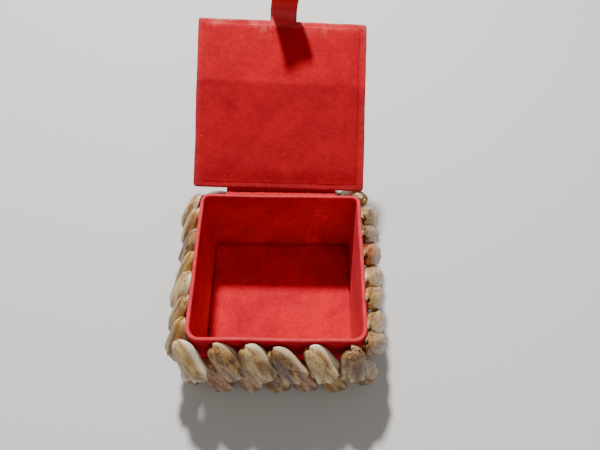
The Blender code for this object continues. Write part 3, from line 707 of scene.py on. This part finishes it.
# Each shell is one coiled form, swept back from its lip, turn by turn, to the tip of the spire.
# side and innerSide are heights and radii as shares of the length, from the seam round the narrow
# end (height 1) and back up the inside. The spire's tip is at height 0.
innerSide = ((0.965, 0.030), (0.88, 0.012), (0.76, 0.012), (0.62, 0.030), (0.50, 0.070), (0.41, 0.105),
             (0.335, 0.135))
shellForms = {
    "stout": {"growth": 1.46, "turns": 4.8, "knobs": 8, "knobHeight": 0.28, "flare": 0.13, "bend": 0.012,
              "side": ((0.290, 0.150), (0.302, 0.188), (0.322, 0.226), (0.352, 0.254), (0.395, 0.264),
                       (0.46, 0.262), (0.53, 0.259), (0.61, 0.258), (0.69, 0.257), (0.77, 0.249),
                       (0.845, 0.230), (0.91, 0.197), (0.955, 0.154), (0.980, 0.108), (0.990, 0.062))},
    "smooth": {"growth": 1.50, "turns": 4.4, "knobs": 10, "knobHeight": 0.10, "flare": 0.09, "bend": 0.010,
               "side": ((0.240, 0.128), (0.262, 0.172), (0.296, 0.210), (0.34, 0.238), (0.40, 0.257),
                        (0.47, 0.264), (0.545, 0.264), (0.62, 0.263), (0.695, 0.259), (0.77, 0.249),
                        (0.845, 0.228), (0.908, 0.195), (0.953, 0.155), (0.980, 0.111), (0.990, 0.062))},
    "knobbly": {"growth": 1.43, "turns": 5.0, "knobs": 7, "knobHeight": 0.28, "flare": 0.14, "bend": 0.016,
                "side": ((0.300, 0.150), (0.310, 0.184), (0.328, 0.224), (0.356, 0.256), (0.40, 0.262),
                         (0.465, 0.252), (0.535, 0.244), (0.61, 0.241), (0.69, 0.239), (0.77, 0.231),
                         (0.845, 0.215), (0.908, 0.186), (0.953, 0.149), (0.980, 0.107), (0.990, 0.062))},
    "slim": {"growth": 1.40, "turns": 5.2, "knobs": 9, "knobHeight": 0.20, "flare": 0.10, "bend": 0.010,
             "side": ((0.330, 0.142), (0.342, 0.178), (0.364, 0.212), (0.396, 0.238), (0.44, 0.250),
                      (0.50, 0.250), (0.565, 0.248), (0.635, 0.246), (0.705, 0.242), (0.775, 0.233),
                      (0.845, 0.215), (0.905, 0.185), (0.95, 0.147), (0.978, 0.106), (0.990, 0.059))},
}
formNames = tuple(shellForms)
# the mouth's rings: size against the lip, turn in degrees, and the mark that around holds there
coil = {"stepsPerTurn": 32, "mouth": ((0.90, 3, -0.01), (0.72, -6, -0.02), (0.55, -40, -0.05))}


def sweepShell(form):
    bm = bmesh.new()
    along = bm.verts.layers.float.new("along")
    around = bm.verts.layers.float.new("around")
    side = form["side"]
    outline = [bm.verts.new((radius, 0, height)) for height, radius in (*side, *innerSide)]
    for i, v in enumerate(outline):
        v[along] = i / (len(side) - 1) if i < len(side) else 2.0
    lipEdges = [bm.edges.new((a, b)) for a, b in zip(outline, outline[1:] + outline[:1])]
    edges = lipEdges
    shrink = form["growth"] ** (-1 / coil["stepsPerTurn"])
    back = Matrix.Rotation(-2 * math.pi / coil["stepsPerTurn"], 3, "Z")
    for step in range(1, round(form["turns"] * coil["stepsPerTurn"]) + 1):
        ring, edges = extrudeRow(bm, edges)
        bmesh.ops.rotate(bm, cent=(0, 0, 0), matrix=back, verts=ring)
        bmesh.ops.scale(bm, vec=(shrink, shrink, shrink), verts=ring)
        for v in ring:
            v[around] = step / coil["stepsPerTurn"]
    tip = min((v.co for v in ring), key=lambda co: co.z) * 0.6
    bmesh.ops.pointmerge(bm, verts=ring, merge_co=(tip.x * 0.3, tip.y * 0.3, tip.z))
    # the mouth: a rounded lip, then the hollow behind it
    edges, lastSize = lipEdges, 1.0
    for size, turn, mark in coil["mouth"]:
        ring, edges = extrudeRow(bm, edges)
        middle = sum((v.co for v in ring), Vector()) / len(ring)
        shrink, lastSize = size / lastSize, size
        inwards = Matrix.Rotation(math.radians(turn), 3, "Z")
        bmesh.ops.scale(bm, vec=(shrink, shrink, shrink ** 0.4), space=Matrix.Translation(-middle),
                        verts=ring)
        bmesh.ops.rotate(bm, cent=(0, 0, 0), matrix=inwards, verts=ring)
        for v in ring:
            v[around] = mark
    bmesh.ops.holes_fill(bm, edges=edges, sides=0)
    return bm


shellShape = {"shoulder": 0.27, "shoulderSpread": 0.15, "rib": 0.034, "lipWidth": 0.12, "paleKnobs": 3.4,
              "dirt": 0.42, "seamDirt": 0.55, "mouthDark": 0.8, "top": 0.985, "topDrop": 0.11}


def shapeShell(bm, form, chance, shadeRange):
    # knobs on the shoulder, the thick flared lip, the drawn-out narrow end and a little unevenness,
    # with painted highlights on the knob tips and painted shade between the knobs, along the seams and
    # in the mouth
    along, around = bm.verts.layers.float["along"], bm.verts.layers.float["around"]
    lip, hollow = bm.verts.layers.float.new("lip"), bm.verts.layers.float.new("hollow")
    tone = bm.verts.layers.float.new("tone")
    shift = Vector((chance.uniform(0, 50), chance.uniform(0, 50), chance.uniform(0, 50)))
    phase, shade = chance.random(), shadeRange[0] + (shadeRange[1] - shadeRange[0]) * chance.random()
    for v in bm.verts:
        part, turns = v[along], v[around]
        p = v.co.copy()
        radius = math.hypot(p.x, p.y)
        outwards = Vector((p.x, p.y, 0)).normalized() if radius > tiny else Vector()
        v[tone] = shade
        v[lip] = 1.0 if turns < 0 else 1 - smoothStep(0.02, 0.13, turns)
        v[hollow] = 0.0
        if part <= 1.0:
            shoulder = math.exp(-((part - shellShape["shoulder"]) / shellShape["shoulderSpread"]) ** 2)
            wave = math.cos(2 * math.pi * (turns * form["knobs"] + phase))
            knob = 0.5 + 0.5 * wave
            v.co += (outwards - Vector((0, 0, 0.25))) * radius * form["knobHeight"] * shoulder * knob ** 1.5
            # the knob tips are painted pale, as highlights
            knobHighlight = shellShape["paleKnobs"] * form["knobHeight"] * shoulder * knob ** 3
            v[lip] = max(v[lip], min(knobHighlight, 0.9))
            rib = shellShape["rib"] * wave * smoothStep(0.2, 0.4, part)
            v.co += outwards * radius * rib * (1 - smoothStep(0.6, 0.9, part))
            if 0 <= turns < shellShape["lipWidth"]:
                fade = (1 - turns / shellShape["lipWidth"]) ** 2
                swell = form["flare"] * fade * math.sin(math.pi * min(part * 0.9 + 0.1, 1.0))
                v.co += outwards * radius * swell
            # painted shade between the knobs and along the seam
            dirt = shellShape["dirt"] * shoulder * (1 - knob) ** 2 * (1 - v[lip])
            seam = shellShape["seamDirt"] * (1 - smoothStep(0.0, 0.10, part))
            v[hollow] = max(dirt, seam) if turns > 0.02 else 0.0
        # the older part of the last whorl reaches nearly as far as the lip does
        if 0 < turns < 1.4 and p.z > 0.3:
            wanted = shellShape["top"] - shellShape["topDrop"] * min(turns, 1.0)
            top = shellShape["top"] * form["growth"] ** -turns
            lift = (wanted - top) * (1 - smoothStep(1.0, 1.4, turns))
            v.co.z += max(lift, 0) * smoothStep(0.35, 1.0, p.z / top)
        v.co += noise.noise_vector(p * 3.5 + shift) * form["bend"]
        # the inside of the mouth is painted dark, as shade
        if turns < -0.03:
            v[hollow] = shellShape["mouthDark"]


def fitShell(bm, low, high, place, mouthAngle, growth, keepEnd, press):
    bmesh.ops.rotate(bm, cent=(0, 0, 0), matrix=Matrix.Rotation(mouthAngle, 3, "Z"), verts=bm.verts)
    ownLow, ownHigh = extents([v.co for v in bm.verts])
    size, own = high - low, ownHigh - ownLow
    scale = Vector([size[i] * growth[i] / own[i] for i in range(3)])
    bmesh.ops.translate(bm, vec=-(ownLow + ownHigh) / 2, verts=bm.verts)
    bmesh.ops.scale(bm, vec=scale, verts=bm.verts)
    middle = (low + high) / 2
    middle.y += size.y * (growth[1] - 1) / 2  # the mouth side stays on what it is glued to
    middle.z -= size.z * (growth[2] - 1) / 2 * keepEnd
    bmesh.ops.translate(bm, vec=middle, verts=bm.verts)
    # the narrow end bends down onto what it is glued to
    for v in bm.verts:
        above = v.co.y - low.y
        end = smoothStep(0.35, 1.0, (v.co.z - low.z) / size.z)
        v.co.y = low.y + max(above - press * end, above * 0.2)
    bm.transform(place)


def wallSeat(node):
    # a wall shell's axis is the longest line in its CAD solid, with the narrow end up
    points = list({tuple(round(c, 7) for c in v.co): v.co.copy() for v in nodes[node].data.vertices}.values())
    tip, end = max(itertools.combinations(points, 2), key=lambda pair: (pair[0] - pair[1]).length)
    if tip.z > end.z:
        tip, end = end, tip
    middle, axis = (tip + end) / 2, (end - tip).normalized()
    reachX, reachY = trayHigh.x - tray["frontRadius"], trayHigh.y - tray["frontRadius"]
    core = Vector((min(max(middle.x, -reachX), reachX), min(max(middle.y, -reachY), reachY), 0))
    outward = Vector((middle.x, middle.y, 0)) - core
    side = outward.cross(axis).normalized()
    outward = axis.cross(side)
    place = Matrix((side, outward, axis)).transposed().to_4x4()
    place.translation = tip
    return place, *extents([place.inverted() @ p for p in points])


# form, finish, girth and the turn of the mouth in degrees, for each shell that the photo shows
shellChoices = {
    "upper_front_shell_1": ("smooth", "tanShell", 1.04, 0),
    "upper_front_shell_2": ("stout", "speckledShell", 1.0, 20),
    "upper_front_shell_3": ("stout", "creamShell", 1.04, -45),
    "upper_front_shell_4": ("knobbly", "speckledShell", 1.08, -50),
    "upper_front_shell_5": ("stout", "creamShell", 1.06, -45),
    "upper_front_shell_6": ("stout", "tanShell", 1.0, -40),
    "upper_left_shell_1": ("stout", "creamShell", 1.14, -50),
    "upper_left_shell_2": ("slim", "ochreShell", 1.1, -20),
    "upper_left_shell_3": ("smooth", "tanShell", 1.0, 0),
    "upper_left_shell_4": ("smooth", "creamShell", 1.10, -30),
    "upper_left_shell_5": ("stout", "ochreShell", 1.0, 0),
    "upper_left_shell_6": ("stout", "speckledShell", 1.0, -20),
    "upper_left_shell_7": ("smooth", "creamShell", 1.0, 0),
    "upper_right_shell_1": ("smooth", "creamShell", 1.0, 0),
    "upper_right_shell_2": ("smooth", "speckledShell", 1.0, 0),
    "upper_right_shell_3": ("stout", "speckledShell", 1.0, -10),
    "upper_right_shell_4": ("smooth", "orangeShell", 1.0, 0),
    "upper_right_shell_5": ("smooth", "creamShell", 1.02, 0),
    "upper_right_shell_6": ("smooth", "ochreShell", 1.0, 0),
    "upper_right_shell_7": ("smooth", "creamShell", 1.06, 0),
    "lower_front_shell_1": ("smooth", "tanShell", 1.0, -20),
}
otherFinishes = ("creamShell", "tanShell", "speckledShell", "pinkShell", "ochreShell", "speckledShell")
mouthTurn = math.radians(-115)
# Neighbours touch and overlap like scales, so each is wider and longer than its plain solid. keepEnd
# goes from -1, where the spire keeps its place, to 1, where the narrow end does. The lower row is
# painted darker, as shade under the upper row.
wallRows = {"upper": {"growth": (1.45, 1.14, 1.04), "shades": (0.35, 1.0), "keepEnd": 0.5},
            "lower": {"growth": (1.42, 1.10, 1.05), "shades": (0.0, 0.4), "keepEnd": -1}}
wallFit = {"backGrowth": 0.03, "lean": 3, "turn": 8, "press": 2.6 * mm}
masters = {name: sweepShell(form) for name, form in shellForms.items()}


def oneShell(formName, chance, shadeRange):
    bm = masters[formName].copy()
    shapeShell(bm, shellForms[formName], chance, shadeRange)
    return bm


def pieceName(node):
    words = node.split("_")
    return words[0] + "".join(word.capitalize() for word in words[1:])


def makeWallShells():
    wallNodes = sorted(n for n in nodes if n.startswith(("upper_", "lower_")))
    for number, node in enumerate(wallNodes):
        chance = random.Random(500 + number)
        formName = chance.choice(formNames)
        finish = chance.choice(otherFinishes)
        girth, turn = 1.0, chance.choice((0, -20, -40))
        if node in shellChoices:
            formName, finish, girth, turn = shellChoices[node]
        row = wallRows[node.split("_")[0]]
        bm = oneShell(formName, chance, row["shades"])
        place, low, high = wallSeat(node)
        lean = math.radians(chance.uniform(-wallFit["lean"], wallFit["lean"]))
        place = place @ Matrix.Rotation(lean, 4, "Y")
        across, outward, along = row["growth"]
        if node.startswith("upper_back"):
            along += wallFit["backGrowth"]
        turn += chance.uniform(-wallFit["turn"], wallFit["turn"])
        growth = (across * girth, outward * girth, along)
        fitShell(bm, low, high, place, mouthTurn + math.radians(turn), growth, row["keepEnd"],
                 wallFit["press"])
        piece = finishPiece(bm, pieceName(node), [shellMaterials[finish]], 180)
        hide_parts(node)
        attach(piece, "box")
    print("wall shells made", len(wallNodes))


lidRows = {"rows": 3, "columns": 8, "spread": 1.19, "growth": (1.08, 1.0, 1.06), "lean": 5, "turn": 14,
           "press": 2.2 * mm, "shades": (0.0, 1.0)}


def makeLidShells():
    toLid = lidPlace.inverted()
    finishes = list(shellMaterials.values())
    for row in range(1, lidRows["rows"] + 1):
        node = f"lid_shell_row_{row}"
        low, high = extents([toLid @ v.co for v in nodes[node].data.vertices])
        pitch = (high.x - low.x) / (lidRows["columns"] - 1 + lidRows["spread"])
        half = pitch * lidRows["spread"] / 2
        joined = bmesh.new()
        for column in range(lidRows["columns"]):
            chance = random.Random(900 + row * 20 + column)
            bm = oneShell(chance.choice(formNames), chance, lidRows["shades"])
            centre = low.x + pitch * (lidRows["spread"] / 2 + column)
            # the shell's own frame: X along the hinge, Y out of the lid's outside, Z to the free edge
            place = lidPlace @ Matrix(((1, 0, 0, centre), (0, 0, 1, low.y), (0, -1, 0, high.z), (0, 0, 0, 1)))
            lean = math.radians(chance.uniform(-lidRows["lean"], lidRows["lean"]))
            place = place @ Matrix.Rotation(lean, 4, "Y")
            turn = math.radians(chance.uniform(-lidRows["turn"], lidRows["turn"]))
            fitShell(bm, Vector((-half, 0, 0)), Vector((half, high.z - low.z, high.y - low.y)), place,
                     mouthTurn + turn, lidRows["growth"], 0, lidRows["press"])
            for face in bm.faces:
                face.material_index = (row * 3 + column * 5) % len(finishes)
            part = bpy.data.meshes.new("part")
            bm.to_mesh(part)
            bm.free()
            joined.from_mesh(part)
            bpy.data.meshes.remove(part)
        piece = finishPiece(joined, f"lidShellRow{row}", finishes, 180)
        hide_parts(node)
        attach(piece, "lid")
    print("lid shells made")


makeWallShells()
makeLidShells()
for bm in masters.values():
    bm.free()

stageLook = {"floor": "#d9d7d3", "floorSize": 3.0, "sky": "#d4d2cf", "skyLevel": 0.28, "aim": (0, 0.02, 0.03)}
lamps = {"keyLamp": {"place": (-0.095, 0.50, 0.80), "size": 0.08, "power": 15},
         "fillLamp": {"place": (0.25, -0.55, 0.75), "size": 0.6, "power": 1.3}}


def makeStage():
    bm = bmesh.new()
    bmesh.ops.create_grid(bm, x_segments=1, y_segments=1, size=stageLook["floorSize"])
    material = newMaterial("studioFloor", {"Roughness": 0.8, "Specular IOR Level": 0.2,
                                           "Base Color": toLinear(stageLook["floor"])})[0]
    floor = finishPiece(bm, "studioFloor", [material])
    for name, look in lamps.items():
        lamp = bpy.data.objects.new(name, bpy.data.lights.new(name, "AREA"))
        lamp.data.shape, lamp.data.size, lamp.data.energy = "DISK", look["size"], look["power"]
        lamp.location = look["place"]
        towards = Vector(stageLook["aim"]) - Vector(look["place"])
        lamp.rotation_euler = towards.to_track_quat("-Z", "Y").to_euler()
        bpy.context.scene.collection.objects.link(lamp)
    world = bpy.data.worlds.new("softStudio")
    world.use_nodes = True
    background = world.node_tree.nodes["Background"]
    background.inputs["Color"].default_value = toLinear(stageLook["sky"])
    background.inputs["Strength"].default_value = stageLook["skyLevel"]
    bpy.context.scene.world = world


# angles in degrees, lens and sensor in millimetres
view = {"place": (0.00791, -0.09903, 0.24973), "tilt": 30.3, "turn": -0.64, "roll": 1.27, "lens": 30.78,
        "sensor": 36.0}


def makeCamera():
    camera = bpy.data.objects.new("camera", bpy.data.cameras.new("camera"))
    camera.data.lens, camera.data.sensor_width = view["lens"], view["sensor"]
    camera.data.clip_start, camera.data.clip_end = 0.01, 20.0
    camera.matrix_world = (Matrix.Translation(view["place"])
                           @ Matrix.Rotation(math.radians(view["turn"]), 4, "Z")
                           @ Matrix.Rotation(math.radians(view["tilt"]), 4, "X")
                           @ Matrix.Rotation(math.radians(view["roll"]), 4, "Z"))
    bpy.context.scene.collection.objects.link(camera)
    bpy.context.scene.camera = camera


makeStage()
makeCamera()
print("stage, light and camera made")
